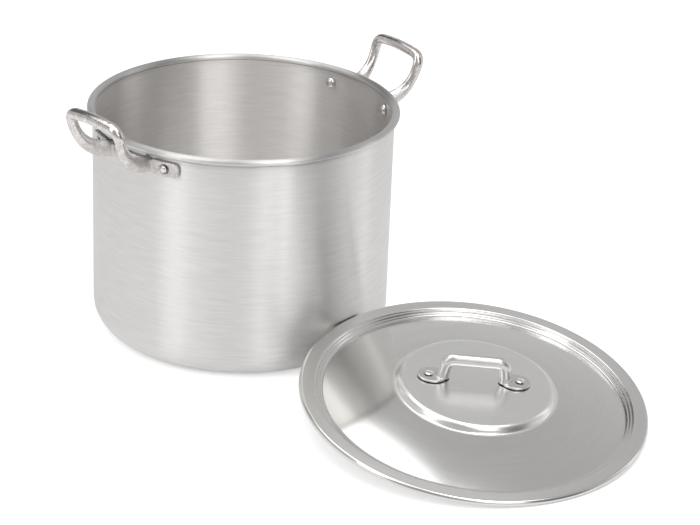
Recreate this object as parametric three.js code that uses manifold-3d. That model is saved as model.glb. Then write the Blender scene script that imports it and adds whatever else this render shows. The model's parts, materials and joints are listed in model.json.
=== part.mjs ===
import * as THREE from "three";
import { mergeVertices } from "three/addons/utils/BufferGeometryUtils.js";
import Module from "manifold-3d";

const wasm = await Module();
wasm.setup();

// Driving dimensions: millimetres and degrees, Z up, the floor at zero, the pot's axis on Z.

// Fits
const seatGap = 0.3;              // between two pieces that rest on each other
const headGap = 0.45;             // under a rivet head on a curved wall
const holeClearance = 0.3;        // round a rivet shank, on the radius

// Pot body: one sheet, drawn, with its edge rolled outwards
const mouthDiameter = 280;        // inside the straight wall
const potHeight = 222;            // floor to the top of the rolled rim
const wallThickness = 2;
const baseCornerRadius = 26;      // outside, between base and wall
const rimCurlRadius = 1.7;        // inside of the rolled rim
const rimInset = 0.5;             // rolled rim proud of the inner wall
const rimCurlEnd = -80;           // where the roll stops, from level, under the bead

// Side handles: cast loops with a strap that hugs the wall and a riveted pad at each end
const rightLean = 4.1;            // right handle, this far round from the cross axis
const leftLean = 4.5;             // left handle, likewise
const rivetSpread = 36.6;         // angle round the pot between the two rivets of a handle
const padGap = 1.5;               // rolled rim down to the pads
const padLength = 31;
const padHeight = 17;
const padThickness = 4;
const padCornerRadius = 5.5;
const strapHeight = 11;
const strapThickness = 3;
const armSpacing = 51;            // between the two arms at the wall
const elbowReach = 28;            // wall out to the point round which an arm turns upwards
const elbowSpacing = 63;
const elbowRise = 2.3;            // rivet line up to that point
const gripReach = 40;             // wall out to the middle of the grip
const gripRise = 42.3;            // rivet line up to the corners of the grip
const gripLength = 68.5;          // between the corners of the grip
const gripRound = 12.5;
const gripBow = 1.2;              // middle of the grip above its ends
const gripWidth = 10.6;           // across the grip, in the plane of the loop
const gripDepth = 9;
const armRootWidth = 15.5;        // arm at the wall, where it spreads into the strap
const armRootDepth = 16;
const armTaper = 45;              // length over which an arm thins down to the grip

// Rivets of the side handles
const rivetShank = 5;
const rivetDomeLip = 2.7;         // head inside the pot, beyond the shank
const rivetDomeHeight = 3;
const rivetSetLip = 1.1;          // head set on the pad, beyond the shank
const rivetSetHeight = 1.7;

// Lid: one spun sheet with a flange, a sunk neck, a domed panel and a raised centre disc
const lidOverhang = 10.5;         // lid beyond the rolled rim
const lidThickness = 1.3;
const lidSkirt = 4.8;             // flange top down to the edge of the skirt
const lidEdgeBend = 1.3;          // inside radius of the bend into the skirt
const neckClearance = 2.7;        // foot of the neck inside the mouth
const neckWidth = 7;              // inward run of the sloping neck
const neckDepth = 5.2;
const neckTopBend = 0.9;          // inside radius under the flange
const neckFootBend = 3;           // inside radius in the trough
const domeRise = 13.8;            // foot of the neck up to the foot of the disc
const discDiameter = 144;         // at the foot of its step
const discStep = 6;
const discStepWidth = 3;
const discTopBend = 1.1;          // inside radius under the edge of the disc
const discFootBend = 1.8;         // inside radius at the foot of the step

// Lid handle: bent rod with its ends flattened into oval feet
const lidRodDiameter = 10;
const lidGripLength = 51.5;       // between the corners of the grip
const lidLegSpacing = 56.5;       // between the two legs where they meet their feet
const lidGripRise = 18.6;         // disc up to the middle of the rod
const lidGripRound = 7;
const lidFootLength = 27;
const lidFootWidth = 23.3;
const lidFootThickness = 2.2;
const lidFootOffset = 9.25;       // leg out to the centre of its foot
const lidRivetOffset = 3.5;       // centre of a foot out to its rivet
const lidLegFlare = 12;           // diameter of a leg where it runs into its foot
const lidFlareLength = 6;
const lidGripSlip = -2.2;         // handle off the lid's axis, along its grip
const lidGripAside = 2.3;         // likewise across its grip

// Rivets of the lid handle
const lidRivetShank = 4.4;
const lidRivetLip = 1.8;          // head beyond the shank
const lidRivetHeadHeight = 2;

// Where the lid lies: its low edge on the floor, its high edge against the pot
const lidTilt = 8.15;
const lidLeanBearing = -101.5;    // side to which the lid slopes down
const lidBearing = -83.5;         // from the pot's axis to the lid's centre
const lidTurn = -40;              // lid handle, turned about the lid's own axis

// Facets
const roundSegments = 56;
const arcSteps = 5;
const bendSteps = 2;
const domeSteps = 3;
const handleSteps = 40;
const lidHandleSteps = 26;
const loopSides = 12;
const rivetSegments = 12;

// How finely the lid's place against the wall is found
const edgePoints = 720;
const placeSteps = 24;

// Sizes that follow from those above
const mouthRadius = mouthDiameter / 2;
const wallRadius = mouthRadius + wallThickness;
const rimRadius = rimCurlRadius + wallThickness;
const rimCentre = new THREE.Vector2(mouthRadius - rimInset + rimRadius, potHeight - rimRadius);
const rimReach = rimCentre.x + rimRadius;
const rimUnderside = rimCentre.y - rimRadius;
const strapRadius = wallRadius + seatGap;
const rivetHeight = rimUnderside - padGap - padHeight / 2;
const lidRadius = rimReach + lidOverhang;
const neckFoot = new THREE.Vector2(mouthRadius - rimInset - neckClearance, -neckDepth);
const neckTop = new THREE.Vector2(neckFoot.x + neckWidth, 0);
const discFoot = new THREE.Vector2(discDiameter / 2, neckFoot.y + domeRise);
const discTop = discFoot.y + discStep;
const lidFootCentre = lidLegSpacing / 2 + lidFootOffset;
const lidRivetCentre = lidFootCentre + lidRivetOffset;
const lidGripPlace = [lidGripSlip, lidGripAside, 0];

const radians = THREE.MathUtils.degToRad;

// Unit vector on the floor at an angle from X
const bearing = (angle) => new THREE.Vector2(Math.cos(radians(angle)), Math.sin(radians(angle)));

const finishes = {
  spun: { color: 0xbfbdb9, roughness: 0.38, metalness: 1 },
  cast: { color: 0xc4bfba, roughness: 0.5, metalness: 1 },
  bright: { color: 0xd2d0cc, roughness: 0.25, metalness: 1 },
  rivet: { color: 0xc9c7c3, roughness: 0.3, metalness: 1 },
};

function solidOf(geometry) {
  const bare = geometry.clone();
  bare.deleteAttribute("normal");
  bare.deleteAttribute("uv");
  const welded = mergeVertices(bare);
  const corners = welded.index.array;
  const triangles = [];
  for (let i = 0; i < corners.length; i += 3) {
    const [a, b, c] = corners.slice(i, i + 3);
    if (a !== b && b !== c && c !== a) {
      triangles.push(a, b, c);
    }
  }
  return new wasm.Manifold(new wasm.Mesh({
    numProp: 3,
    vertProperties: welded.attributes.position.array,
    triVerts: new Uint32Array(triangles),
  }));
}

function meshOf(name, solid, finish) {
  const { vertProperties, triVerts } = solid.getMesh();
  const geometry = new THREE.BufferGeometry();
  geometry.setAttribute("position", new THREE.BufferAttribute(vertProperties, 3));
  geometry.setIndex(new THREE.BufferAttribute(triVerts, 1));
  geometry.computeVertexNormals();
  const mesh = new THREE.Mesh(geometry, new THREE.MeshStandardMaterial(finishes[finish]));
  mesh.name = name;
  return mesh;
}

// Points of a circle's arc, angles in degrees from level
function arc(centre, radius, from, to, steps) {
  const points = [];
  for (let i = 0; i <= steps; i += 1) {
    const angle = radians(from + (to - from) * i / steps);
    points.push(new THREE.Vector2(centre.x + radius * Math.cos(angle), centre.y + radius * Math.sin(angle)));
  }
  return points;
}

// A polyline in which each corner with a radius becomes an arc that touches both of its sides
function filleted(corners) {
  const points = [];
  corners.forEach(({ at, radius }, i) => {
    if (!radius) {
      points.push(at);
      return;
    }
    const back = corners[i - 1].at.clone().sub(at).normalize();
    const ahead = corners[i + 1].at.clone().sub(at).normalize();
    const half = Math.acos(back.dot(ahead)) / 2;
    const middle = back.clone().add(ahead).normalize();
    const centre = at.clone().addScaledVector(middle, radius / Math.sin(half));
    const first = at.clone().addScaledVector(back, radius / Math.tan(half)).sub(centre);
    const last = at.clone().addScaledVector(ahead, radius / Math.tan(half)).sub(centre);
    const start = THREE.MathUtils.radToDeg(first.angle());
    const turn = THREE.MathUtils.radToDeg(Math.atan2(first.cross(last), first.dot(last)));
    points.push(...arc(centre, radius, start, start + turn, bendSteps));
  });
  return points;
}

// Closed outline of a sheet: its upper face and, a thickness below it, its lower face
function sheetOutline(upper, thickness) {
  const lower = upper.map((point, i) => {
    const before = upper[Math.max(i - 1, 0)];
    const after = upper[Math.min(i + 1, upper.length - 1)];
    const along = after.clone().sub(before).normalize();
    return point.clone().add(new THREE.Vector2(along.y, -along.x).multiplyScalar(thickness));
  });
  lower[0].x = upper[0].x;
  return [...upper, ...lower.reverse()];
}

// A solid of revolution about Z from an outline of radius and height that starts and ends on the axis
function revolved(outline, segments) {
  const points = THREE.ShapeUtils.area(outline) > 0 ? outline : outline.slice().reverse();
  return solidOf(new THREE.LatheGeometry(points, segments).rotateX(Math.PI / 2));
}

function turned(solid, angle) {
  return solid.rotate([0, 0, angle]);
}

// Path of a loop that is alike on both sides of a plane: from a foot round the elbow and the corner, along
// the grip, which may bow upwards, and down again
function loopPath({ foot, elbow, corner, round, bow, across }) {
  const flip = (point) => point.clone().setComponent(across, -point.getComponent(across));
  const shoulder = corner.clone().addScaledVector(elbow.clone().sub(corner).normalize(), round);
  const gripEnd = corner.clone().addScaledVector(flip(corner).sub(corner).normalize(), round);
  const crown = gripEnd.clone().setComponent(across, 0);
  crown.z += 2 * bow;
  const path = new THREE.CurvePath();
  path.add(new THREE.QuadraticBezierCurve3(foot, elbow, shoulder));
  path.add(new THREE.QuadraticBezierCurve3(shoulder, corner, gripEnd));
  path.add(new THREE.QuadraticBezierCurve3(gripEnd, crown, flip(gripEnd)));
  path.add(new THREE.QuadraticBezierCurve3(flip(gripEnd), flip(corner), flip(shoulder)));
  path.add(new THREE.QuadraticBezierCurve3(flip(shoulder), flip(elbow), flip(foot)));
  return path;
}

// A bar with an oval section carried along a path without twist: sizeAt gives the section's width, first
// laid along the side given, and its depth, at a length along the path
function ovalBar(path, side, sizeAt, steps, sides) {
  const length = path.getLength();
  const normal = side.clone();
  const positions = [];
  const faces = [];
  for (let i = 0; i <= steps; i += 1) {
    const middle = path.getPointAt(i / steps);
    const tangent = path.getTangentAt(i / steps);
    normal.addScaledVector(tangent, -normal.dot(tangent)).normalize();
    const binormal = tangent.clone().cross(normal);
    const { width, depth } = sizeAt(length * i / steps, length);
    for (let j = 0; j < sides; j += 1) {
      const angle = 2 * Math.PI * j / sides;
      const point = middle.clone();
      point.addScaledVector(normal, width / 2 * Math.cos(angle));
      point.addScaledVector(binormal, depth / 2 * Math.sin(angle));
      positions.push(...point);
      if (i < steps) {
        const next = (j + 1) % sides;
        const here = i * sides;
        const ahead = here + sides;
        faces.push(here + j, here + next, ahead + next, here + j, ahead + next, ahead + j);
      }
    }
  }
  const end = steps * sides;
  for (let j = 1; j < sides - 1; j += 1) {
    faces.push(0, j + 1, j, end, end + j, end + j + 1);
  }
  const geometry = new THREE.BufferGeometry();
  geometry.setAttribute("position", new THREE.Float32BufferAttribute(positions, 3));
  geometry.setIndex(faces);
  return solidOf(geometry);
}

// Pot body

// Angle at which a circle's lower half crosses an upright line, offset sideways from its centre
function lowerCrossing(offset, radius) {
  return 360 - THREE.MathUtils.radToDeg(Math.acos(offset / radius));
}

function potOutline() {
  const cornerCentre = new THREE.Vector2(wallRadius - baseCornerRadius, baseCornerRadius);
  const outerMeet = lowerCrossing(wallRadius - rimCentre.x, rimCurlRadius);
  const innerMeet = lowerCrossing(mouthRadius - rimCentre.x, rimRadius);
  return [
    new THREE.Vector2(0, 0),
    ...arc(cornerCentre, baseCornerRadius, -90, 0, arcSteps),
    ...arc(rimCentre, rimCurlRadius, outerMeet, rimCurlEnd, arcSteps + bendSteps),
    ...arc(rimCentre, rimRadius, rimCurlEnd, innerMeet, 2 * arcSteps),
    ...arc(cornerCentre, baseCornerRadius - wallThickness, 0, -90, arcSteps),
    new THREE.Vector2(0, wallThickness),
  ];
}

// Angles of a handle's two rivets, from the middle of that handle
const rivetAngles = [-rivetSpread / 2, rivetSpread / 2];

// Angles round the pot at which the two handles stand
const handleAngles = { right: -rightLean, left: 180 + leftLean };

// Room for a rivet's shank through the wall and the pad on it
function rivetHole() {
  const diameter = rivetShank + 2 * holeClearance;
  const hole = new THREE.CylinderGeometry(diameter / 2, diameter / 2, 2 * padLength, rivetSegments);
  return solidOf(hole.rotateZ(Math.PI / 2).translate(wallRadius, 0, rivetHeight));
}

function potBody() {
  let body = revolved(potOutline(), roundSegments);
  for (const handle of Object.values(handleAngles)) {
    for (const angle of rivetAngles) {
      body = body.subtract(turned(rivetHole(), handle + angle));
    }
  }
  return body;
}

// Side handle, modelled with X outwards through the middle of its grip

function wallSector(thickness, angle, height) {
  const shape = new THREE.Shape();
  shape.absarc(0, 0, strapRadius + thickness, -radians(angle), radians(angle), false);
  shape.absarc(0, 0, strapRadius, radians(angle), -radians(angle), true);
  const upright = { depth: height, bevelEnabled: false, curveSegments: 2 * arcSteps };
  return solidOf(new THREE.ExtrudeGeometry(shape, upright).translate(0, 0, rivetHeight - height / 2));
}

function roundedPlate(length, height, cornerRadius, depth) {
  const corner = Math.min(cornerRadius, length / 2, height / 2);
  const plate = new THREE.Shape();
  const x = length / 2 - corner;
  const y = height / 2 - corner;
  plate.absarc(x, y, corner, 0, Math.PI / 2, false);
  plate.absarc(-x, y, corner, Math.PI / 2, Math.PI, false);
  plate.absarc(-x, -y, corner, Math.PI, 3 * Math.PI / 2, false);
  plate.absarc(x, -y, corner, 3 * Math.PI / 2, 2 * Math.PI, false);
  return new THREE.ExtrudeGeometry(plate, { depth, bevelEnabled: false, curveSegments: bendSteps });
}

function rivetPad() {
  const padAngle = THREE.MathUtils.radToDeg(padLength / strapRadius);
  const front = roundedPlate(padLength, padHeight, padCornerRadius, 2 * padLength);
  front.rotateX(Math.PI / 2).rotateZ(Math.PI / 2);
  front.translate(strapRadius - padLength, 0, rivetHeight);
  return wallSector(padThickness, padAngle, 2 * padHeight).intersect(solidOf(front));
}

function handlePath() {
  return loopPath({
    foot: new THREE.Vector3(wallRadius, armSpacing / 2, rivetHeight),
    elbow: new THREE.Vector3(wallRadius + elbowReach, elbowSpacing / 2, rivetHeight + elbowRise),
    corner: new THREE.Vector3(wallRadius + gripReach, gripLength / 2, rivetHeight + gripRise),
    round: gripRound,
    bow: gripBow,
    across: 1,
  });
}

function handleSection(along, length) {
  const fromWall = Math.min(along, length - along);
  const slim = THREE.MathUtils.smoothstep(fromWall, 0, armTaper);
  return {
    width: THREE.MathUtils.lerp(armRootWidth, gripWidth, slim),
    depth: THREE.MathUtils.lerp(armRootDepth, gripDepth, slim),
  };
}

// The room that the wall and the rolled rim take up, with the gaps that a handle keeps to them
function potRoom() {
  return revolved([
    new THREE.Vector2(0, 0),
    new THREE.Vector2(strapRadius, 0),
    new THREE.Vector2(strapRadius, rimUnderside - padGap),
    new THREE.Vector2(rimReach + seatGap, rimUnderside - padGap),
    new THREE.Vector2(rimReach + seatGap, potHeight + seatGap),
    new THREE.Vector2(0, potHeight + seatGap),
  ], 2 * roundSegments);
}

function sideHandle() {
  const sideways = new THREE.Vector3(0, 1, 0);
  let handle = wallSector(strapThickness, rivetSpread / 2, strapHeight);
  for (const angle of rivetAngles) {
    handle = handle.add(turned(rivetPad(), angle));
  }
  handle = handle.add(ovalBar(handlePath(), sideways, handleSection, handleSteps, loopSides));
  handle = handle.subtract(potRoom());
  for (const angle of rivetAngles) {
    handle = handle.subtract(turned(rivetHole(), angle));
  }
  return handle;
}

// Rivets: a shank with a head at each end, about Z, the lower head's seat at zero

function rivet(shank, grip, lower, upper) {
  const head = ({ lip, height }, seat, side) => {
    const round = arc(new THREE.Vector2(0, 0), 1, 0, 90, bendSteps + 1);
    return round.map(({ x, y }) => new THREE.Vector2((shank / 2 + lip) * x, seat + side * height * y));
  };
  return revolved([
    ...head(lower, 0, -1).reverse(),
    new THREE.Vector2(shank / 2, 0),
    new THREE.Vector2(shank / 2, grip),
    ...head(upper, grip, 1),
  ], rivetSegments);
}

function handleRivet() {
  const seat = mouthRadius - headGap;
  const grip = strapRadius + padThickness + headGap - seat;
  const dome = { lip: rivetDomeLip, height: rivetDomeHeight };
  const set = { lip: rivetSetLip, height: rivetSetHeight };
  return rivet(rivetShank, grip, dome, set).rotate([0, 90, 0]).translate([seat, 0, rivetHeight]);
}

// Lid, about its own axis, the top of its flange at zero

function lidOutline() {
  // The panel is a part of a ball whose top lies on the lid's axis
  const ball = (neckFoot.x ** 2 - discFoot.x ** 2) / (2 * domeRise);
  const dome = [];
  for (let i = 1; i < domeSteps; i += 1) {
    const radius = THREE.MathUtils.lerp(discFoot.x, neckFoot.x, i / domeSteps);
    dome.push({ at: new THREE.Vector2(radius, discFoot.y - (radius ** 2 - discFoot.x ** 2) / (2 * ball)) });
  }
  return sheetOutline(filleted([
    { at: new THREE.Vector2(0, discTop) },
    { at: new THREE.Vector2(discFoot.x - discStepWidth, discTop), radius: discTopBend + lidThickness },
    { at: discFoot, radius: discFootBend },
    ...dome,
    { at: neckFoot, radius: neckFootBend },
    { at: neckTop, radius: neckTopBend + lidThickness },
    { at: new THREE.Vector2(lidRadius, 0), radius: lidEdgeBend + lidThickness },
    { at: new THREE.Vector2(lidRadius, -lidSkirt) },
  ]), lidThickness);
}

// The two rivet holes of the lid handle, from below the disc to above the feet
function lidRivetHoles() {
  const radius = lidRivetShank / 2 + holeClearance;
  const depth = 2 * (lidThickness + lidFootThickness + discStep);
  const hole = solidOf(new THREE.CylinderGeometry(radius, radius, depth, rivetSegments).rotateX(Math.PI / 2));
  return hole.translate([-lidRivetCentre, 0, discTop]).add(hole.translate([lidRivetCentre, 0, discTop]));
}

function lidPanel() {
  return revolved(lidOutline(), roundSegments).subtract(lidRivetHoles().translate(lidGripPlace));
}

function lidHandle() {
  const footBottom = discTop + seatGap;
  const foot = new THREE.Vector3(lidLegSpacing / 2, 0, footBottom + lidFootThickness / 2);
  const corner = new THREE.Vector3(lidGripLength / 2, 0, discTop + lidGripRise);
  const elbow = foot.clone().add(corner).divideScalar(2);
  const path = loopPath({ foot, elbow, corner, round: lidGripRound, bow: 0, across: 0 });
  const section = (along, length) => {
    const slim = THREE.MathUtils.smoothstep(Math.min(along, length - along), 0, lidFlareLength);
    const size = THREE.MathUtils.lerp(lidLegFlare, lidRodDiameter, slim);
    return { width: size, depth: size };
  };
  let handle = ovalBar(path, new THREE.Vector3(1, 0, 0), section, lidHandleSteps, loopSides);
  for (const centre of [-lidFootCentre, lidFootCentre]) {
    const outline = new THREE.Shape();
    outline.absellipse(centre, 0, lidFootLength / 2, lidFootWidth / 2, 0, 2 * Math.PI, false, 0);
    const plate = { depth: lidFootThickness, bevelEnabled: false, curveSegments: 2 * loopSides };
    handle = handle.add(solidOf(new THREE.ExtrudeGeometry(outline, plate).translate(0, 0, footBottom)));
  }
  return handle.subtract(lidRivetHoles()).translate(lidGripPlace);
}

function lidRivet(centre) {
  const seat = discTop - lidThickness - seatGap;
  const grip = lidThickness + lidFootThickness + 3 * seatGap;
  const head = { lip: lidRivetLip, height: lidRivetHeadHeight };
  return rivet(lidRivetShank, grip, head, head).translate([centre, 0, seat]).translate(lidGripPlace);
}

// Height of the lid's centre at which its low edge just meets the floor
function lidHeight() {
  const tilt = radians(lidTilt);
  return lidRadius * Math.sin(tilt) + lidSkirt * Math.cos(tilt) + seatGap;
}

// Distance of the lid's centre from the pot's axis at which its edge just meets the wall
function lidDistance() {
  const tilt = radians(lidTilt);
  const downhill = bearing(lidLeanBearing);
  const across = bearing(lidLeanBearing + 90);
  const edge = [];
  for (let i = 0; i < edgePoints; i += 1) {
    const round = bearing(360 * i / edgePoints).multiplyScalar(lidRadius);
    const top = across.clone().multiplyScalar(round.x).addScaledVector(downhill, round.y * Math.cos(tilt));
    edge.push(top, top.clone().addScaledVector(downhill, -lidSkirt * Math.sin(tilt)));
  }
  const towards = bearing(lidBearing);
  const nearest = (distance) => {
    const reaches = edge.map((point) => point.clone().addScaledVector(towards, distance).length());
    return Math.min(...reaches);
  };
  let [near, far] = [lidRadius, lidRadius + wallRadius + 2 * seatGap];
  for (let i = 0; i < placeSteps; i += 1) {
    const middle = (near + far) / 2;
    [near, far] = nearest(middle) < wallRadius + seatGap ? [middle, far] : [near, middle];
  }
  return far;
}

const pot = new THREE.Group();

pot.add(meshOf("pot_body", potBody(), "spun"));

for (const [side, angle] of Object.entries(handleAngles)) {
  const mount = new THREE.Group();
  mount.rotation.z = radians(angle);
  mount.add(meshOf(`side_handle_${side}`, sideHandle(), "cast"));
  rivetAngles.forEach((spread, i) => {
    mount.add(meshOf(`handle_rivet_${side}_${i + 1}`, turned(handleRivet(), spread), "rivet"));
  });
  pot.add(mount);
}

const lidPlace = bearing(lidBearing).multiplyScalar(lidDistance());
const tiltAxis = bearing(lidLeanBearing + 90);
const lid = new THREE.Group();
lid.position.set(lidPlace.x, lidPlace.y, lidHeight());
lid.quaternion.setFromAxisAngle(new THREE.Vector3(tiltAxis.x, tiltAxis.y, 0), radians(lidTilt));

const lidTurntable = new THREE.Group();
lidTurntable.rotation.z = radians(lidTurn);
lidTurntable.add(meshOf("lid", lidPanel(), "spun"));
lidTurntable.add(meshOf("lid_handle", lidHandle(), "bright"));
[-lidRivetCentre, lidRivetCentre].forEach((centre, i) => {
  lidTurntable.add(meshOf(`lid_rivet_${i + 1}`, lidRivet(centre), "rivet"));
});
lid.add(lidTurntable);
pot.add(lid);

export default pot;
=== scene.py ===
import json
import math

import bmesh
import bpy
import numpy as np
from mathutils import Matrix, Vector


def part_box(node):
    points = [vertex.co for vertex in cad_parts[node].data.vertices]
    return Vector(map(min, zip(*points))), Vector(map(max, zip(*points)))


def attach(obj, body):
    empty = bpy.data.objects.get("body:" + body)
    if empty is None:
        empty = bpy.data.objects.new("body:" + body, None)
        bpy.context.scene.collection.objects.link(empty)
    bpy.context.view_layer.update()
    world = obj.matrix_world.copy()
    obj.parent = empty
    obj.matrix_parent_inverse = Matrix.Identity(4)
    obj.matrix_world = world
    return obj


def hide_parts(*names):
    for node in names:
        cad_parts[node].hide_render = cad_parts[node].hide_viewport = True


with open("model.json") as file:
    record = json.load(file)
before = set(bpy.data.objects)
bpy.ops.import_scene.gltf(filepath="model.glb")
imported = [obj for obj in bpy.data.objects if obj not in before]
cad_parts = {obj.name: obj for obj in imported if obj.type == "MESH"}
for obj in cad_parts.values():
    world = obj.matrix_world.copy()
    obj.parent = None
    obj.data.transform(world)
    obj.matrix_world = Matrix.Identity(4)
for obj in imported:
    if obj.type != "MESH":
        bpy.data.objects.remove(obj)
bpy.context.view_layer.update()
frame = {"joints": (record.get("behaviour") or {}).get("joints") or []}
mm = 0.001
mergeWithin = 1e-7  # metres between points that count as one


# Outlines and grids

def unit(v):
    return v / np.linalg.norm(v, axis=-1, keepdims=True)


def eased(t):
    # 3 t^2 - 2 t^3, a smooth step from 0 to 1
    return t ** 2 * (3 - 2 * t)


def arc(centre, radius, start, stop, steps):
    # centre + radius (cos a, sin a), with a from start to stop in degrees
    a = np.radians(np.linspace(start, stop, steps + 1))
    return np.stack([centre[0] + radius * np.cos(a), centre[1] + radius * np.sin(a)], axis=1)


def rounded(corners, steps):
    # each corner (x, z, radius) becomes an arc that touches the lines to its two neighbours
    line = []
    for i, (x, z, radius) in enumerate(corners):
        at = np.array([x, z], float)
        if radius == 0:
            line.append(at[None])
            continue
        back = unit(np.array(corners[i - 1][:2]) - at)
        ahead = unit(np.array(corners[i + 1][:2]) - at)
        half = math.acos(np.clip(back @ ahead, -1, 1)) / 2
        centre = at + unit(back + ahead) * radius / math.sin(half)
        first = at + back * radius / math.tan(half) - centre
        last = at + ahead * radius / math.tan(half) - centre
        start = math.degrees(math.atan2(first[1], first[0]))
        turn = math.degrees(math.atan2(first[0] * last[1] - first[1] * last[0], first @ last))
        line.append(arc(centre, radius, start, start + turn, steps))
    return np.concatenate(line)


def lengthAlong(line):
    # the length from the line's start to each of its points
    return np.append(0, np.cumsum(np.linalg.norm(np.diff(line, axis=0), axis=1)))


def filledIn(line, step):
    # every stretch of the line is divided evenly into parts no longer than step
    along = lengthAlong(line)
    parts = np.maximum(1, np.ceil(np.diff(along) / step)).astype(int)
    order = np.arange(parts.sum()) - np.repeat(np.cumsum(parts) - parts, parts)
    where = np.repeat(along[:-1], parts) + order * np.repeat(np.diff(along) / parts, parts)
    where = np.append(where, along[-1])
    return np.stack([np.interp(where, along, line[:, k]) for k in range(line.shape[1])], axis=1)


def lathe(profile, segments):
    # point (i, j) = (r_i cos t_j, r_i sin t_j, z_i), and its uv = (length along the profile, turn)
    turn = np.linspace(0, 2 * np.pi, segments + 1)
    r = profile[:, :1]
    z = np.repeat(profile[:, 1:], segments + 1, axis=1)
    grid = np.stack([r * np.cos(turn), r * np.sin(turn), z], axis=-1)
    uv = np.stack(np.meshgrid(lengthAlong(profile) * mm, turn, indexing="ij"), axis=-1)
    return grid, uv


def closedEnds(grid):
    # a first and a last row that are drawn together into their middle close a tube
    first = np.broadcast_to(grid[0].mean(axis=0), grid[:1].shape)
    last = np.broadcast_to(grid[-1].mean(axis=0), grid[:1].shape)
    return np.concatenate([first, grid, last])


def makePiece(name, grids, uvs=()):
    # the grids, rows x columns x 3 in metres, become one mesh: points that coincide are merged, which
    # closes the poles and seams, and the faces are turned outwards
    points = np.concatenate([g.reshape(-1, 3) for g in grids])
    quads = []
    first = 0
    for g in grids:
        rows, cols = g.shape[:2]
        corner = first + np.arange(rows - 1)[:, None] * cols + np.arange(cols - 1)
        around = [corner, corner + 1, corner + cols + 1, corner + cols]
        quads.append(np.stack(around, axis=-1).reshape(-1, 4))
        first += rows * cols
    mesh = bpy.data.meshes.new(name)
    mesh.from_pydata(points.tolist(), [], np.concatenate(quads).tolist())
    if len(uvs):
        layer = mesh.uv_layers.new(name="turned")
        corners = np.empty(len(mesh.loops), np.int32)
        mesh.loops.foreach_get("vertex_index", corners)
        flat = np.concatenate([uv.reshape(-1, 2) for uv in uvs])
        layer.data.foreach_set("uv", flat[corners].astype(np.float32).ravel())
    work = bmesh.new()
    work.from_mesh(mesh)
    bmesh.ops.remove_doubles(work, verts=work.verts, dist=mergeWithin)
    bmesh.ops.recalc_face_normals(work, faces=work.faces)
    work.to_mesh(mesh)
    work.free()
    mesh.polygons.foreach_set("use_smooth", np.ones(len(mesh.polygons), bool))
    piece = bpy.data.objects.new(name, mesh)
    bpy.context.scene.collection.objects.link(piece)
    return piece


def fuse(piece, voxel, rounds, strength=0.5):
    # overlapping forms become one skin, smoothed so that they run into each other as in a casting
    skin = piece.modifiers.new("skin", "REMESH")
    skin.mode = "VOXEL"
    skin.voxel_size = voxel
    skin.use_smooth_shade = True
    fillets = piece.modifiers.new("fillets", "SMOOTH")
    fillets.factor = strength
    fillets.iterations = rounds
    shaped = piece.evaluated_get(bpy.context.evaluated_depsgraph_get())
    mesh = bpy.data.meshes.new_from_object(shaped)
    piece.modifiers.clear()
    plain = piece.data
    piece.data = mesh
    bpy.data.meshes.remove(plain)
    mesh.name = piece.name


def reshape(piece, change):
    # change takes and gives the whole array of points, in metres
    mesh = piece.data
    points = np.empty(len(mesh.vertices) * 3, np.float32)
    mesh.vertices.foreach_get("co", points)
    moved = change(points.reshape(-1, 3).astype(float))
    mesh.vertices.foreach_set("co", moved.astype(np.float32).ravel())
    mesh.update()


def dress(piece, body, slot, nodes, *materials):
    for material in materials:
        piece.data.materials.append(material)
    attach(piece, body)
    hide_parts(*nodes)
    print(piece.name, "made:", len(piece.data.polygons), "faces")


# Places taken from the frame

def centreOf(node):
    # the middle of a node's box
    low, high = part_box(node)
    return (np.array(low) + np.array(high)) / 2


def turnedAbout(points, angle):
    # turned about the upright axis, by an angle in radians
    c, s = math.cos(angle), math.sin(angle)
    return points @ np.array([[c, s, 0], [-s, c, 0], [0, 0, 1]])


# Materials

def newMaterial(name):
    material = bpy.data.materials.new(name)
    material.use_nodes = True
    tree = material.node_tree
    return material, tree, tree.nodes["Principled BSDF"]


def addNode(tree, kind, inputs=None, **options):
    node = tree.nodes.new(kind)
    for key, value in options.items():
        setattr(node, key, value)
    for key, value in (inputs or {}).items():
        node.inputs[key].default_value = value
    return node


def worked(tree, operation, *values):
    # arithmetic on numbers and on the outputs of other nodes
    node = addNode(tree, "ShaderNodeMath", operation=operation)
    for i, value in enumerate(values):
        if isinstance(value, (int, float)):
            node.inputs[i].default_value = value
        else:
            tree.links.new(value, node.inputs[i])
    return node.outputs["Value"]


def spread(tree, source, low, high):
    # a pattern that runs from 0 to 1, stretched between two values
    node = addNode(tree, "ShaderNodeMapRange", {"To Min": low, "To Max": high})
    tree.links.new(source, node.inputs["Value"])
    return node.outputs["Result"]


def stepped(tree, source, start, stop, low, high):
    # low up to start, high from stop on, and a smooth step between them
    ends = {"From Min": start, "From Max": stop, "To Min": low, "To Max": high}
    node = addNode(tree, "ShaderNodeMapRange", ends, interpolation_type="SMOOTHSTEP")
    tree.links.new(source, node.inputs["Value"])
    return node.outputs["Result"]


def shaded(tree, colour, shade):
    # the colour times a shade from 0 to 1
    mixed = addNode(tree, "ShaderNodeMix", {"Factor": 1}, data_type="RGBA", blend_type="MULTIPLY")
    tree.links.new(colour, mixed.inputs["A"])
    tree.links.new(shade, mixed.inputs["B"])
    return mixed.outputs["Result"]


def toned(tree, pattern, look):
    # the pattern picks a colour between the look's dark and light ones
    tone = addNode(tree, "ShaderNodeValToRGB")
    for i, end in enumerate(("dark", "light")):
        tone.color_ramp.elements[i].position = look[end + "At"]
        tone.color_ramp.elements[i].color = (*look[end], 1)
    tree.links.new(pattern, tone.inputs["Fac"])
    return tone.outputs["Color"]


# painted shade in tight gaps, used by every finish
gapShade = {"gapReach": 0.004, "gapFull": 0.24, "gapStart": 0.55, "gapTone": 0.03, "samples": 8}


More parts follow.
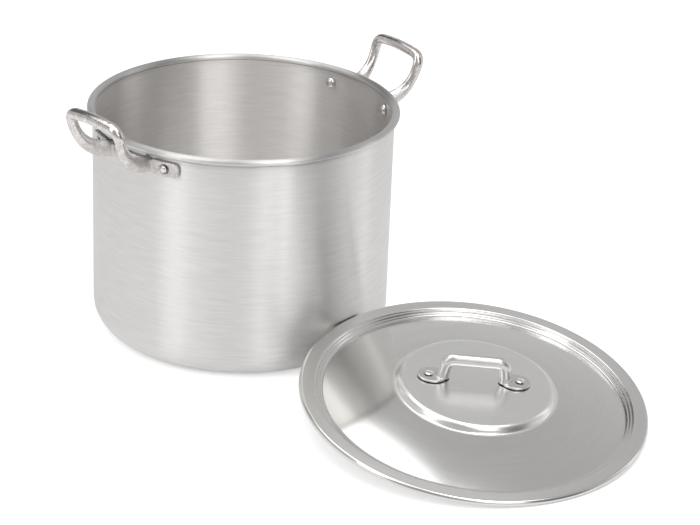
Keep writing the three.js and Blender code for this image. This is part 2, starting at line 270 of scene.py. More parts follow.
def paintedGapShade(tree, shader, colour, look):
    # painted shade in tight gaps: the share of open sky within a few millimetres darkens the colour
    reach = {"Distance": look["gapReach"]}
    gap = addNode(tree, "ShaderNodeAmbientOcclusion", reach, samples=look["samples"])
    clear = stepped(tree, gap.outputs["AO"], look["gapFull"], look["gapStart"], look["gapTone"], 1)
    tree.links.new(shaded(tree, colour, clear), shader.inputs["Base Color"])


def darkLines(tree, place, colour, lines):
    # painted shade in the creases, and darker bands: each line (middle, half width, tone) lies at a length
    # along the profile
    split = addNode(tree, "ShaderNodeSeparateXYZ")
    tree.links.new(place.outputs["UV"], split.inputs["Vector"])
    for middle, half, tone in lines:
        far = worked(tree, "ABSOLUTE", worked(tree, "SUBTRACT", split.outputs["X"], middle))
        colour = shaded(tree, colour, stepped(tree, far, half / 2, half, tone, 1))
    return colour


turnedLook = {"lineDetail": 3, "lineRoughness": 0.6, "darkAt": 0.12, "lightAt": 0.4, "depth": 0.00002}


def turnedFinish(name, own, lines=()):
    # lines left by turning: noise that is stretched along the turn and fine along the profile, in the
    # colour, the gloss and the relief; the gloss is drawn out across the lines
    look = turnedLook | own
    material, tree, shader = newMaterial(name)
    place = addNode(tree, "ShaderNodeUVMap", uv_map="turned")
    grain = {"Scale": 1, "Detail": look["lineDetail"], "Roughness": look["lineRoughness"]}
    patterns = {}
    for kind in ("fine", "broad"):
        scale = (look[kind + "Lines"], look[kind + "Round"], 1)
        stretch = addNode(tree, "ShaderNodeMapping", {"Scale": scale})
        noise = addNode(tree, "ShaderNodeTexNoise", grain)
        tree.links.new(place.outputs["UV"], stretch.inputs["Vector"])
        tree.links.new(stretch.outputs["Vector"], noise.inputs["Vector"])
        patterns[kind] = noise.outputs["Fac"]
    colour = toned(tree, worked(tree, "MULTIPLY", patterns["fine"], patterns["broad"]), look)
    # painted shade along the given lines and in tight gaps darkens the colour
    paintedGapShade(tree, shader, darkLines(tree, place, colour, lines), gapShade)
    tree.links.new(spread(tree, patterns["fine"], *look["roughness"]), shader.inputs["Roughness"])
    relief = addNode(tree, "ShaderNodeBump", {"Strength": look["relief"], "Distance": look["depth"]})
    tree.links.new(patterns["fine"], relief.inputs["Height"])
    tree.links.new(relief.outputs["Normal"], shader.inputs["Normal"])
    along = addNode(tree, "ShaderNodeTangent", direction_type="UV_MAP", uv_map="turned")
    tree.links.new(along.outputs["Tangent"], shader.inputs["Tangent"])
    shader.inputs["Metallic"].default_value = 1
    shader.inputs["Anisotropic"].default_value = look["drawnOut"]
    return material


def castFinish(name, look):
    # a grainy cast skin, rubbed smoother with height towards the grip
    material, tree, shader = newMaterial(name)
    place = addNode(tree, "ShaderNodeTexCoord")
    grain = addNode(tree, "ShaderNodeTexNoise", {
        "Scale": look["grain"], "Detail": look["grainDetail"], "Roughness": look["grainRoughness"],
    })
    blotch = addNode(tree, "ShaderNodeTexNoise", {"Scale": look["blotch"], "Detail": look["blotchDetail"]})
    height = addNode(tree, "ShaderNodeSeparateXYZ")
    for node in (grain, blotch, height):
        tree.links.new(place.outputs["Object"], node.inputs["Vector"])
    rubbed = stepped(tree, height.outputs["Z"], look["rubbedFrom"], look["rubbedTo"], 0, 1)
    speckle = addNode(tree, "ShaderNodeMix", {"Factor": look["speckle"]})
    tree.links.new(blotch.outputs["Fac"], speckle.inputs["A"])
    tree.links.new(grain.outputs["Fac"], speckle.inputs["B"])
    # painted shade darkens the grainy colour in tight gaps
    paintedGapShade(tree, shader, toned(tree, speckle.outputs["Result"], look), gapShade)
    tree.links.new(spread(tree, rubbed, *look["roughness"]), shader.inputs["Roughness"])
    relief = addNode(tree, "ShaderNodeBump", {"Distance": look["depth"]})
    tree.links.new(spread(tree, rubbed, *look["relief"]), relief.inputs["Strength"])
    tree.links.new(grain.outputs["Fac"], relief.inputs["Height"])
    tree.links.new(relief.outputs["Normal"], shader.inputs["Normal"])
    shader.inputs["Metallic"].default_value = 1
    return material


flangeFinish = turnedFinish("lidTurned", {
    "dark": (0.755, 0.74, 0.725), "light": (0.81, 0.795, 0.78),
    "roughness": (0.34, 0.4), "drawnOut": 0.5, "relief": 0.12,
    "fineLines": 1300, "fineRound": 3, "broadLines": 260, "broadRound": 1.5,
})
panelLook = {
    "dark": (0.78, 0.77, 0.755), "light": (0.82, 0.81, 0.795),
    "roughness": (0.13, 0.16), "drawnOut": 0.1, "relief": 0.03,
    "fineLines": 700, "fineRound": 2.5, "broadLines": 90, "broadRound": 1.5,
}
panelFinish = turnedFinish("lidSatin", panelLook)
discFinish = turnedFinish("discSatin", panelLook | {
    "dark": (0.91, 0.9, 0.885), "light": (0.95, 0.94, 0.925), "roughness": (0.23, 0.27),
})
castLook = {
    "dark": (0.53, 0.5, 0.485), "light": (0.94, 0.905, 0.885), "darkAt": 0.35, "lightAt": 0.65,
    "grain": 620, "grainDetail": 4, "grainRoughness": 0.7, "blotch": 160, "blotchDetail": 2, "speckle": 0.65,
    "rubbedFrom": 0.207, "rubbedTo": 0.222,  # heights in metres
    "roughness": (0.42, 0.17), "relief": (0.75, 0.05), "depth": 0.001,  # cast, rubbed
}
handleFinish = castFinish("castHandle", castLook)
rivetFinish = castFinish("rivetBright", castLook | {
    "dark": (0.78, 0.77, 0.76), "light": (0.86, 0.85, 0.84),
    "roughness": (0.22, 0.18), "relief": (0.12, 0.1), "depth": 0.0001,
})
rodFinish = castFinish("rodPolished", castLook | {
    "dark": (0.72, 0.71, 0.7), "light": (0.78, 0.77, 0.76),
    "roughness": (0.31, 0.31), "relief": (0.05, 0.05), "depth": 0.00008,
})
print("finishes made")


# Pot: one drawn sheet with its edge rolled outwards into a bead
potSizes = {
    "mouthRadius": 140, "rimTop": 220.9, "wall": 2, "baseCorner": 26,
    "curlInside": 1.85, "beadInset": 0.8, "beadPress": 0.8, "curlEnd": -80,
    "curlSteps": 24, "beadSteps": 40, "cornerSteps": 20, "segments": 384, "rowStep": 6,
}
potLook = {
    "dark": (0.885, 0.87, 0.855), "light": (0.975, 0.96, 0.945),
    "roughness": (0.36, 0.4), "drawnOut": 1,
    "fineLines": 900, "fineRound": 5, "broadLines": 450, "broadRound": 2.5,
    "relief": 0.1,
    # painted shade under the bead and in its crease with the inside, and a darker band over its top: degrees
    # below and above the bead's widest point, half widths in metres, and what is left
    "underBead": 56, "underBeadHalf": 0.002, "underShade": 0.2, "creaseHalf": 0.0009, "creaseShade": 0.6,
    "beadTop": 80, "beadTopHalf": 0.008, "beadTone": 0.8,
}


def potProfile(s):
    # up the outside, round the bead and its hollow, and down the inside, as radius and height; the bead
    # is a circle pressed to an oval: z = middle + press (z - middle)
    wallRadius = s["mouthRadius"] + s["wall"]
    bead = s["curlInside"] + s["wall"]
    middle = s["rimTop"] - bead * s["beadPress"]
    beadCentre = (s["mouthRadius"] - s["beadInset"] + bead, middle)
    cornerCentre = (wallRadius - s["baseCorner"], s["baseCorner"])
    outerMeet = 360 - math.degrees(math.acos((wallRadius - beadCentre[0]) / s["curlInside"]))
    innerMeet = 360 - math.degrees(math.acos((s["mouthRadius"] - beadCentre[0]) / bead))
    roll = np.concatenate([
        arc(beadCentre, s["curlInside"], outerMeet, s["curlEnd"], s["curlSteps"]),
        arc(beadCentre, bead, s["curlEnd"], innerMeet, s["beadSteps"]),
    ])
    roll[:, 1] = middle + s["beadPress"] * (roll[:, 1] - middle)
    line = np.concatenate([
        [[0, 0]],
        arc(cornerCentre, s["baseCorner"], -90, 0, s["cornerSteps"]),
        roll,
        arc(cornerCentre, s["baseCorner"] - s["wall"], 0, -90, s["cornerSteps"]),
        [[0, s["wall"]]],
    ])
    return filledIn(line, s["rowStep"])


def potLines(profile, s, look):
    # lines of darker colour: the bead's top, and as painted shade its lower side, at angles from its widest
    # point, and the crease where it meets the inside
    along = lengthAlong(profile) * mm
    widest = np.argmax(profile[:, 0])
    bead = (s["curlInside"] + s["wall"]) * mm
    narrowest = widest + np.argmin(np.abs(profile[widest:, 0] - s["mouthRadius"] + s["beadInset"]))
    crease = narrowest + np.argmin(np.abs(profile[narrowest:, 0] - s["mouthRadius"]))
    under = along[widest] - math.radians(look["underBead"]) * bead
    top = along[widest] + math.radians(look["beadTop"]) * bead
    return [
        (top, look["beadTopHalf"], look["beadTone"]),
        (under, look["underBeadHalf"], look["underShade"]),
        (along[crease], look["creaseHalf"], look["creaseShade"]),
    ]


potLine = potProfile(potSizes)
# the pot's finish carries painted shade under the bead and in the crease inside it
potFinish = turnedFinish("potBrushed", potLook, potLines(potLine, potSizes, potLook))
potGrid, potUv = lathe(potLine, potSizes["segments"])
potShell = makePiece("pot_shell", [potGrid * mm], [potUv])
dress(potShell, "pot", "pot", ["pot_body"], potFinish)


# Side handles: a cast loop whose arms spread into a strap, with a riveted pad at each end of it
handleSizes = {
    "wallRadius": potSizes["mouthRadius"] + potSizes["wall"], "seatGap": 0.3,
    "rivetHeight": 204.6, "rivetSpread": 36.6,
    "padLength": 30.5, "padShift": 1.2, "padHeight": 14.6, "padDrop": 0.4, "padThickness": 4,
    "padCorner": 5.5, "padEdge": 1.6, "padSides": 360, "padEdgeSteps": 6,
    "strapHeight": 11, "strapThickness": 3, "strapEdge": 1.2,
    "strapSteps": 96, "strapEdgeSteps": 5, "strapRowStep": 1,
    "armSpacing": 51, "elbowReach": 28, "elbowSpacing": 63, "elbowRise": 2.3,
    "gripReach": 39.5, "gripRise": 42.6, "gripLength": 68.5, "gripRound": 12.5, "gripBow": 1.2,
    "gripWidth": 9.7, "gripDepth": 11, "rootWidth": 15.7, "rootDepth": 16.2, "taper": 45,
    "armSquareness": 1.55, "gripSquareness": 2.4,
    "leadShare": 0.25, "leadSteps": 8, "loopSteps": 60, "loopSides": 64, "voxel": 0.5, "smoothing": 5,
    "grooveRadius": 4.7, "grooveDepth": 1.2, "grooveEdge": 0.5,
}


def bezier(a, b, c, t):
    # (1 - t)^2 a + 2 t (1 - t) b + t^2 c
    return (1 - t) ** 2 * a + 2 * t * (1 - t) * b + t ** 2 * c


def tube(path, across, width, depth, squareness, sides):
    # a superellipse with its width along one side and its depth along across, carried along the path
    tangent = unit(np.gradient(path, axis=0))
    up = unit(across - (across * tangent).sum(axis=1, keepdims=True) * tangent)
    side = np.cross(up, tangent)
    a = np.linspace(0, 2 * np.pi, sides + 1)
    power = 2 / squareness[:, None]
    x = np.sign(np.cos(a)) * np.abs(np.cos(a)) ** power / 2
    y = np.sign(np.sin(a)) * np.abs(np.sin(a)) ** power / 2
    sideways = (width[:, None] * x)[:, :, None] * side[:, None]
    upwards = (depth[:, None] * y)[:, :, None] * up[:, None]
    return closedEnds(path[:, None] + sideways + upwards)


def handleLoop(s):
    # half of the loop: a lead inside the strap, the arm, the round corner and half of the grip; the
    # section's depth stays square to the loop as seen from the side
    t = np.linspace(0, 1, s["loopSteps"] + 1)[:, None]
    wall, level = s["wallRadius"], s["rivetHeight"]
    foot = np.array([wall, s["armSpacing"] / 2, level])
    elbow = np.array([wall + s["elbowReach"], s["elbowSpacing"] / 2, level + s["elbowRise"]])
    corner = np.array([wall + s["gripReach"], s["gripLength"] / 2, level + s["gripRise"]])
    shoulder = corner + s["gripRound"] * unit(elbow - corner)
    gripEnd = corner - np.array([0, s["gripRound"], 0])
    crown = gripEnd * [1, 0, 1] + [0, 0, 2 * s["gripBow"]]
    before = np.linspace(-s["leadShare"], 0, s["leadSteps"], endpoint=False)[:, None]
    lead = foot + (elbow - foot) * before
    arm = np.concatenate([lead, bezier(foot, elbow, shoulder, t)])
    bend = bezier(shoulder, corner, gripEnd, t)[1:]
    grip = bezier(gripEnd, crown, gripEnd * [1, -1, 1], t / 2)[1:]
    half = np.concatenate([arm, bend, grip])
    upper = np.tile(corner - elbow, (len(bend) + len(grip), 1))
    rise = np.concatenate([np.gradient(arm, axis=0), upper])
    across = np.stack([-rise[:, 2], 0 * rise[:, 1], rise[:, 0]], axis=1)
    slim = eased(np.clip(lengthAlong(half) - lengthAlong(lead)[-1], 0, s["taper"]) / s["taper"])
    width = s["rootWidth"] + (s["gripWidth"] - s["rootWidth"]) * slim
    depth = s["rootDepth"] + (s["gripDepth"] - s["rootDepth"]) * slim
    onGrip = np.concatenate([0 * arm[:, 0], t[1:, 0], np.ones(len(grip))])
    squareness = s["armSquareness"] + (s["gripSquareness"] - s["armSquareness"]) * onGrip
    path = np.concatenate([half, (half * [1, -1, 1])[-2::-1]])
    bothSides = [np.concatenate([v, v[-2::-1]]) for v in (across, width, depth, squareness)]
    return tube(path, *bothSides, s["loopSides"])


def handleStrap(s):
    # a band with rounded outer edges, its section of radius and height swung round the wall
    inner = s["wallRadius"] + s["seatGap"]
    outer = inner + s["strapThickness"]
    low = s["rivetHeight"] - s["strapHeight"] / 2
    high = s["rivetHeight"] + s["strapHeight"] / 2
    section = filledIn(rounded([
        (inner, high, 0), (inner, low, 0), (outer, low, s["strapEdge"]),
        (outer, high, s["strapEdge"]), (inner, high, 0),
    ], s["strapEdgeSteps"]), s["strapRowStep"])
    half = s["rivetSpread"] / 2
    swing = np.radians(np.linspace(-half, half, s["strapSteps"] + 1))[:, None]
    r, z = section.T
    return closedEnds(np.stack([r * np.cos(swing), r * np.sin(swing), z + 0 * swing], axis=-1))


def handlePad(s, angle):
    # rings of a rounded rectangle from the middle of the back over the rounded edge to the middle of
    # the front, wrapped on the wall: (sideways, height, depth) becomes (turn, height, radius); the pad's
    # middle lies a little nearer to the loop, and lower, than its rivet
    edge = np.radians(np.linspace(0, 90, s["padEdgeSteps"] + 1))
    inset = np.concatenate([[0, 0], s["padEdge"] * (1 - np.cos(edge))])
    front = s["padThickness"] - s["padEdge"] * (1 - np.sin(edge))
    depth = np.concatenate([[0, s["padThickness"] / 2], front])
    a = np.radians(np.linspace(0, 360, s["padSides"] + 1))
    digits = 9  # the cosine and sine of a quarter turn count as 0
    x = s["padLength"] / 2 - s["padCorner"]
    z = s["padHeight"] / 2 - s["padCorner"]
    circle = np.stack([np.cos(a), np.sin(a)], axis=1)
    middle = [x, z] * np.sign(np.round(circle, digits))
    ring = (s["padCorner"] - inset)[:, None, None] * circle + middle
    r = s["wallRadius"] + s["seatGap"] + depth[:, None]
    swing = math.radians(angle) + (ring[:, :, 0] - np.sign(angle) * s["padShift"]) / s["wallRadius"]
    height = s["rivetHeight"] - s["padDrop"] + ring[:, :, 1]
    return closedEnds(np.stack([r * np.cos(swing), r * np.sin(swing), height], axis=-1))


def againstPot(s):
    # nothing reaches into the wall's room, and a narrow groove runs round each rivet
    def change(points):
        p = points / mm
        r = np.hypot(p[:, 0], p[:, 1])
        for angle in (-s["rivetSpread"] / 2, s["rivetSpread"] / 2):
            turn = np.arctan2(p[:, 1], p[:, 0]) - math.radians(angle)
            off = np.hypot(s["wallRadius"] * turn, p[:, 2] - s["rivetHeight"])
            front = r > s["wallRadius"] + s["seatGap"] + s["padThickness"] / 2
            sink = s["grooveDepth"] * np.clip((s["grooveRadius"] - off) / s["grooveEdge"], 0, 1)
            r = np.where(front, r - sink, r)
        r = np.maximum(r, s["wallRadius"] + s["seatGap"])
        scale = r / np.hypot(p[:, 0], p[:, 1])
        return p * np.stack([scale, scale, np.ones(len(p))], axis=1) * mm
    return change


def sideHandle(side, s):
    # made on the X axis, then turned to the middle of its two rivets
    rivets = [f"handle_rivet_{side}_{i}" for i in (1, 2)]
    outwards = sum(unit(centreOf(rivet)[:2]) for rivet in rivets)
    angle = math.atan2(outwards[1], outwards[0])
    half = s["rivetSpread"] / 2
    grids = [handleLoop(s), handleStrap(s), handlePad(s, -half), handlePad(s, half)]
    handle = makePiece("handle_" + side, [g * mm for g in grids])
    fuse(handle, s["voxel"] * mm, s["smoothing"])
    reshape(handle, againstPot(s))
    reshape(handle, lambda points: turnedAbout(points, angle))
    dress(handle, "pot", "handle", ["side_handle_" + side], handleFinish)
    return angle


# Rivets: a shank with a round head at each end
rivetSizes = {
    "shank": 2.5, "domeRadius": 5.2, "domeHeight": 3.8, "setRadius": 3.3, "setHeight": 1.7,
    "domeSeat": 139.55, "setSeat": 146.75, "lidShank": 2.2, "lidHeadRadius": 3.5, "lidHeadHeight": 1.5,
    "segments": 48, "headSteps": 12,
}


def rivetProfile(shank, lowSeat, highSeat, lowHead, highHead, steps):
    # quarter ellipses (radius cos a, height sin a) below the low seat and above the high one
    a = np.radians(np.linspace(0, 90, steps + 1))
    low = np.stack([lowHead[0] * np.cos(a), lowSeat - lowHead[1] * np.sin(a)], axis=1)[::-1]
    high = np.stack([highHead[0] * np.cos(a), highSeat + highHead[1] * np.sin(a)], axis=1)
    return np.concatenate([low, [[shank, lowSeat], [shank, highSeat]], high])


def handleRivet(side, number, angle, s):
    # the rivet's axis is laid along X at its height, then turned to its place
    dome = (s["domeRadius"], s["domeHeight"])
    setHead = (s["setRadius"], s["setHeight"])
    profile = rivetProfile(s["shank"], s["domeSeat"], s["setSeat"], dome, setHead, s["headSteps"])
    grid, uv = lathe(profile, s["segments"])
    lying = np.stack([grid[..., 2], grid[..., 0], grid[..., 1] + handleSizes["rivetHeight"]], axis=-1)
    placed = turnedAbout(lying.reshape(-1, 3), angle).reshape(grid.shape)
    rivet = makePiece(f"rivet_{side}_{number}", [placed * mm], [uv])
    dress(rivet, "pot", "rivet", [f"handle_rivet_{side}_{number}"], rivetFinish)


for side in ("right", "left"):
    angle = sideHandle(side, handleSizes)
    spreadHalf = math.radians(handleSizes["rivetSpread"] / 2)
    handleRivet(side, 1, angle - spreadHalf, rivetSizes)
    handleRivet(side, 2, angle + spreadHalf, rivetSizes)


# Lid: one spun sheet with a skirt, a flat flange, a sunk neck, a domed panel and a raised disc
lidSizes = {
    "radius": 157.4, "thickness": 1.3, "skirt": 4.8, "edgeBend": 3.2,
    "neckFoot": 136.8, "neckTop": 143.8, "neckDepth": 5.2, "neckTopBend": 2.2, "neckFootBend": 3,
    "domeRise": 13.8, "discRadius": 72, "discStep": 6, "discStepWidth": 3,
    "discTopBend": 7, "discFootBend": 3, "flangeMargin": 0.4,
    "ridgeFrom": 0.2, "ridgeTo": 0.88, "ridgeCount": 2, "ridgeHeight": 0.34, "ridgeSteps": 40,
    "domeSteps": 25, "bendSteps": 10, "edgeSteps": 8, "segments": 320, "rowStep": 4,
}


def discHeights(s):
    # the foot and the top of the raised disc, above the flange
    foot = s["domeRise"] - s["neckDepth"]
    return foot, foot + s["discStep"]


def lidProfile(s):
    # the panel is a part of a ball: z = foot - (r^2 - discRadius^2) / 2 ball; the neck is a straight slope
    # with a sine of spinning ridges on it; the lower face lies a thickness below the upper one, and a half
    # circle closes the edge of the skirt
    ball = (s["neckFoot"] ** 2 - s["discRadius"] ** 2) / (2 * s["domeRise"])
    discFoot, discTop = discHeights(s)
    r = np.linspace(s["discRadius"], s["neckFoot"], s["domeSteps"] + 1)[1:-1]
    dome = np.stack([r, discFoot - (r ** 2 - s["discRadius"] ** 2) / (2 * ball), 0 * r], axis=1)
    slope = np.array([s["neckTop"] - s["neckFoot"], s["neckDepth"]])
    t = np.linspace(0, 1, s["ridgeSteps"] + 1)[:, None]
    ridged = s["ridgeFrom"] + (s["ridgeTo"] - s["ridgeFrom"]) * t
    straight = [s["neckFoot"], -s["neckDepth"]] + slope * ridged
    wave = s["ridgeHeight"] * np.sin(2 * np.pi * s["ridgeCount"] * t)
    ridges = np.concatenate([straight + wave * unit(slope[::-1] * [-1, 1]), 0 * t], axis=1)
    upper = filledIn(rounded([
        (0, discTop, 0),
        (s["discRadius"] - s["discStepWidth"], discTop, s["discTopBend"]),
        (s["discRadius"], discFoot, s["discFootBend"]),
        *dome,
        (s["neckFoot"], -s["neckDepth"], s["neckFootBend"]),
        *ridges,
        (s["neckTop"], 0, s["neckTopBend"]),
        (s["radius"], 0, s["edgeBend"]),
        (s["radius"], -s["skirt"] + s["thickness"] / 2, 0),
    ], s["bendSteps"]), s["rowStep"])
    along = unit(np.gradient(upper, axis=0))
    lower = upper + s["thickness"] * np.stack([along[:, 1], -along[:, 0]], axis=1)
    lower[0, 0] = 0
    edge = arc((upper[-1] + lower[-1]) / 2, s["thickness"] / 2, 0, -180, s["edgeSteps"])[1:-1]
    return np.concatenate([upper, edge, lower[::-1]])


# The lid's own axes: up along its joint, sideways through the rivets of its handle
lidUp = unit(np.array(frame["joints"][0]["axis"], float))
lidRivetCentres = [centreOf("lid_rivet_1"), centreOf("lid_rivet_2")]
lidSide = lidRivetCentres[1] - lidRivetCentres[0]
lidSide = unit(lidSide - (lidSide @ lidUp) * lidUp)
lidAxes = np.stack([lidSide, np.cross(lidUp, lidSide), lidUp])
discTop = discHeights(lidSizes)[1]
grip = {
    "seatGap": 0.3, "footThickness": 2.2, "footLength": 27, "footWidth": 23.3, "footCentre": 37.5,
    "footEdge": 1.1, "rod": 11.2, "length": 51.5, "legSpacing": 56.5, "rise": 20, "round": 7.5,
    "flare": 13, "flareLength": 6, "slip": -2.2, "aside": 2.3,
    "rivetCentre": 41, "voxel": 0.36, "smoothing": 6,
    "loopSteps": 40, "loopSides": 40, "roundness": 2.0, "footSides": 96, "footEdgeSteps": 12,
    "grooveRadius": 4.7, "grooveDepth": 0.9, "grooveEdge": 0.4,
}
rivetMiddle = discTop + (grip["footThickness"] + grip["seatGap"] - lidSizes["thickness"]) / 2
gripPlace = np.array([grip["slip"], grip["aside"], 0])
lidOrigin = sum(lidRivetCentres) / 2 - (gripPlace + [0, 0, rivetMiddle]) @ lidAxes * mm


def onLid(points):
    # from the lid's own axes to the frame's
    return lidOrigin + points @ lidAxes


lidGrid, lidUv = lathe(lidProfile(lidSizes), lidSizes["segments"])
lidSheet = makePiece("lid_sheet", [onLid(lidGrid * mm)], [lidUv])
faceMiddles = np.empty(len(lidSheet.data.polygons) * 3, np.float32)
lidSheet.data.polygons.foreach_get("center", faceMiddles)
faceReach = (faceMiddles.reshape(-1, 3) - lidOrigin) @ lidAxes.T
fromAxis = np.hypot(faceReach[:, 0], faceReach[:, 1]) / mm
onDisc = fromAxis < lidSizes["discRadius"] + lidSizes["discFootBend"]
flangeEnd = lidSizes["radius"] - lidSizes["edgeBend"] - lidSizes["flangeMargin"]
onFlange = (fromAxis > lidSizes["neckTop"]) & (fromAxis < flangeEnd)
lidSheet.data.polygons.foreach_set("material_index", (onDisc + 2 * onFlange).astype(np.int32))
dress(lidSheet, "lid", "lid", ["lid"], panelFinish, discFinish, flangeFinish)


# Lid handle: a bent rod with its ends flattened into oval feet
def rodLoop(s):
    # half of the rod: the leg, a round corner and half of the grip; the leg flares into its foot
    t = np.linspace(0, 1, s["loopSteps"] + 1)[:, None]
    foot = np.array([s["legSpacing"] / 2, 0, discTop + s["seatGap"] + s["footThickness"] / 2])
    corner = np.array([s["length"] / 2, 0, discTop + s["rise"]])
    shoulder = corner + s["round"] * unit(foot - corner)
    gripEnd = corner - np.array([s["round"], 0, 0])
    leg = foot + (shoulder - foot) * t
    bend = bezier(shoulder, corner, gripEnd, t)[1:]
    bar = gripEnd * (1 - t[1:] * [1, 0, 0])
    half = np.concatenate([leg, bend, bar])
    fromFoot = np.clip(lengthAlong(half) / s["flareLength"], 0, 1)
    size = s["flare"] + (s["rod"] - s["flare"]) * eased(fromFoot)
    path = np.concatenate([half, (half * [-1, 1, 1])[-2::-1]])
    size = np.concatenate([size, size[-2::-1]])
    across = np.tile([0.0, 1.0, 0.0], (len(path), 1))
    return tube(path, across, size, size, np.full(len(path), s["roundness"]), s["loopSides"])


def rodFoot(s, side):
    # rings of an oval from the middle below over the rounded edge to the middle above
    edge = np.radians(np.linspace(-90, 90, s["footEdgeSteps"] + 1))
    inset = s["footEdge"] * (1 - np.cos(edge))
    height = s["footThickness"] / 2 + (s["footThickness"] / 2) * np.sin(edge)
    a = np.linspace(0, 2 * np.pi, s["footSides"] + 1)
    x = side * s["footCentre"] + (s["footLength"] / 2 - inset)[:, None] * np.cos(a)
    y = (s["footWidth"] / 2 - inset)[:, None] * np.sin(a)
    z = discTop + s["seatGap"] + height[:, None] + 0 * a
    return closedEnds(np.stack([x, y, z], axis=-1))


def roundRivets(points):
    # the upper side of each foot sinks into a narrow groove round its rivet
    p = points / mm - gripPlace
    off = np.hypot(np.abs(p[:, 0]) - grip["rivetCentre"], p[:, 1])
    upper = p[:, 2] > discTop + grip["seatGap"] + grip["footThickness"] / 2
    sink = grip["grooveDepth"] * np.clip((grip["grooveRadius"] - off) / grip["grooveEdge"], 0, 1)
    p[:, 2] -= np.where(upper, sink, 0)
    return (p + gripPlace) * mm


rodGrids = [rodLoop(grip), rodFoot(grip, -1), rodFoot(grip, 1)]
lidRod = makePiece("lid_grip", [(g + gripPlace) * mm for g in rodGrids])
fuse(lidRod, grip["voxel"] * mm, grip["smoothing"])
reshape(lidRod, roundRivets)
reshape(lidRod, onLid)
dress(lidRod, "lid", "lid_handle", ["lid_handle"], rodFinish)


def lidRivet(number, side, s):
    # through the disc and the foot on its side of the grip
    head = (s["lidHeadRadius"], s["lidHeadHeight"])
    below = discTop - lidSizes["thickness"] - grip["seatGap"]
    above = discTop + grip["footThickness"] + 2 * grip["seatGap"]
    grid, uv = lathe(rivetProfile(s["lidShank"], below, above, head, head, s["headSteps"]), s["segments"])
    placed = onLid((grid + gripPlace + [side * grip["rivetCentre"], 0, 0]) * mm)
    rivet = makePiece(f"lid_grip_rivet_{number}", [placed], [uv])
    dress(rivet, "lid", "rivet", [f"lid_rivet_{number}"], rivetFinish)


lidRivet(1, -1, rivetSizes)
lidRivet(2, 1, rivetSizes)


# Studio: a white floor, a pale room and soft boxes
studio = {
    "floorRadius": 30, "floorSides": 96, "floorTone": 0.8, "floorFill": 0.54, "floorMirrored": 0.1,
    "roomLight": 0.55, "roomSeen": 0.6, "ceilingSeen": 0.46, "fadeFrom": 0.05, "fadeTo": 0.95,
    "aim": (0.02, -0.15, 0.1),
}
# dark corners of the room: bearing and rise in degrees, how far they reach and fade, and what is left
dimCorners = [
    {"bearing": -72, "rise": -6, "inside": 9, "outside": 29, "share": 0.1},
    {"bearing": -72, "rise": 28, "inside": 9, "outside": 26, "share": 0.4},
    {"bearing": 86, "rise": 35, "inside": 16, "outside": 26, "share": 0.25},
    {"bearing": -140, "rise": 25, "inside": 28, "outside": 55, "share": 0.8},
]
# bearing and rise in degrees from the object, distance and sizes in metres, and how bright it looks
softBoxes = {
    "leftBox": {"bearing": -185, "rise": 46, "distance": 1.8, "width": 0.6, "height": 2.2, "bright": 1.45},
    "frontBox": {"bearing": -105.5, "rise": 48, "distance": 1.9, "width": 0.8, "height": 2.2, "bright": 1.25},
    "highBox": {"bearing": -70, "rise": 72, "distance": 1.9, "width": 0.8, "height": 1.0, "bright": 2},
    "rightBox": {"bearing": -24, "rise": 20, "distance": 1.9, "width": 0.4, "height": 1.3, "bright": 0.5},
    "ceilingBox": {"bearing": 102.4, "rise": 64.5, "distance": 1.88, "turn": -9,
                   "width": 1.2, "height": 1.8, "bright": 1.3},
}


def seenDirectly(tree, amount, mirrored):
    # one amount for rays from the camera, another for rays from a mirroring or clear surface, and
    # nothing for the rest
    path = addNode(tree, "ShaderNodeLightPath")
    either = worked(tree, "MAXIMUM", path.outputs["Is Glossy Ray"], path.outputs["Is Transmission Ray"])
    inMirror = worked(tree, "MULTIPLY", either, mirrored)
    return worked(tree, "MULTIPLY_ADD", path.outputs["Is Camera Ray"], amount, inMirror)


def makeFloor(s):
    # a disc of one ring of faces round its middle, matt, with a fill where it is seen
    material, tree, shader = newMaterial("whiteFloor")
    shader.inputs["Base Color"].default_value = (s["floorTone"],) * 3 + (1,)
    shader.inputs["Roughness"].default_value = 1
    shader.inputs["Specular IOR Level"].default_value = 0
    shader.inputs["Emission Color"].default_value = (1, 1, 1, 1)
    fill = seenDirectly(tree, s["floorFill"], s["floorMirrored"])
    tree.links.new(fill, shader.inputs["Emission Strength"])
    a = np.linspace(0, 2 * np.pi, s["floorSides"] + 1)
    ring = s["floorRadius"] * np.stack([np.cos(a), np.sin(a), 0 * a], axis=1)
    floor = makePiece("floor", [np.stack([0 * ring, ring])])
    floor.data.materials.append(material)


def towards(spot):
    # the direction with this bearing and rise
    bearing, rise = math.radians(spot["bearing"]), math.radians(spot["rise"])
    return Vector((math.cos(rise) * math.cos(bearing), math.cos(rise) * math.sin(bearing), math.sin(rise)))


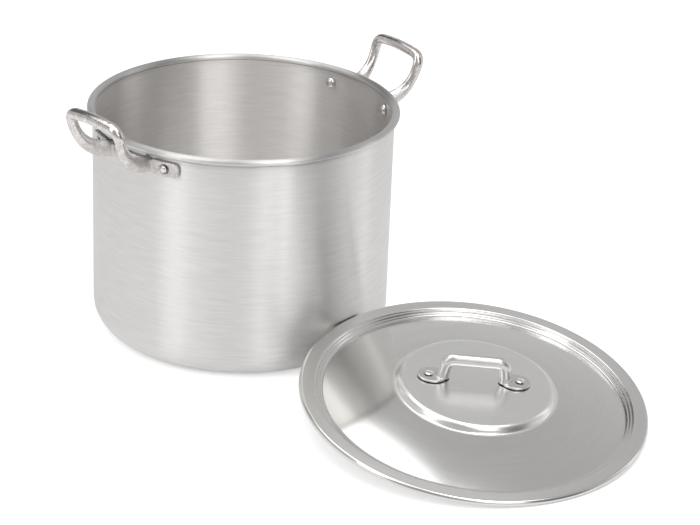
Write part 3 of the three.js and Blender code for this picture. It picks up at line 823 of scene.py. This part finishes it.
def makeRoom(s):
    # paler near the horizon and greyer overhead where it is seen, and an even light elsewhere
    world = bpy.data.worlds.new("room")
    bpy.context.scene.world = world
    world.use_nodes = True
    tree = world.node_tree
    background = tree.nodes["Background"]
    place = addNode(tree, "ShaderNodeTexCoord")
    split = addNode(tree, "ShaderNodeSeparateXYZ")
    tree.links.new(place.outputs["Generated"], split.inputs["Vector"])
    light = stepped(tree, split.outputs["Z"], s["fadeFrom"], s["fadeTo"], s["roomSeen"], s["ceilingSeen"])
    for corner in dimCorners:
        facing = addNode(tree, "ShaderNodeVectorMath", {1: towards(corner)}, operation="DOT_PRODUCT")
        tree.links.new(place.outputs["Generated"], facing.inputs[0])
        edge, core = (math.cos(math.radians(corner[key])) for key in ("outside", "inside"))
        dimmed = stepped(tree, facing.outputs["Value"], edge, core, 1, corner["share"])
        light = worked(tree, "MULTIPLY", light, dimmed)
    pick = addNode(tree, "ShaderNodeMix", {"A": s["roomLight"]})
    tree.links.new(seenDirectly(tree, 1, 1), pick.inputs["Factor"])
    tree.links.new(light, pick.inputs["B"])
    tree.links.new(pick.outputs["Result"], background.inputs["Strength"])
    background.inputs["Color"].default_value = (1, 1, 1, 1)


def makeSoftBox(name, box, aim):
    # faces the aim, or hangs level if it has a turn; its energy follows from how bright its face looks
    lamp = bpy.data.lights.new(name, "AREA")
    lamp.shape = "RECTANGLE"
    lamp.size = box["width"]
    lamp.size_y = box["height"]
    lamp.energy = box["bright"] * math.pi * box["width"] * box["height"]
    holder = bpy.data.objects.new(name, lamp)
    away = towards(box)
    holder.location = Vector(aim) + away * box["distance"]
    holder.rotation_euler = (-away).to_track_quat("-Z", "Y").to_euler()
    if "turn" in box:
        holder.rotation_euler = (0, 0, math.radians(box["turn"]))
    holder.visible_camera = False
    bpy.context.scene.collection.objects.link(holder)


makeFloor(studio)
makeRoom(studio)
for name, box in softBoxes.items():
    makeSoftBox(name, box, studio["aim"])
print("studio made:", len(softBoxes), "soft boxes")


# Camera
view = {
    "place": (-1.2907, -1.6314, 0.9915), "angles": (65.883, -2.134, -40.299),  # metres, degrees
    "lens": 121.09, "sensor": 36, "mirrorBounces": 8,
}
cameraData = bpy.data.cameras.new("camera")
cameraData.sensor_fit = "HORIZONTAL"
cameraData.sensor_width = view["sensor"]
cameraData.lens = view["lens"]
camera = bpy.data.objects.new("camera", cameraData)
camera.location = view["place"]
camera.rotation_euler = [math.radians(a) for a in view["angles"]]
bpy.context.scene.collection.objects.link(camera)
bpy.context.scene.camera = camera
bpy.context.scene.view_settings.view_transform = "Standard"
bpy.context.scene.cycles.glossy_bounces = view["mirrorBounces"]
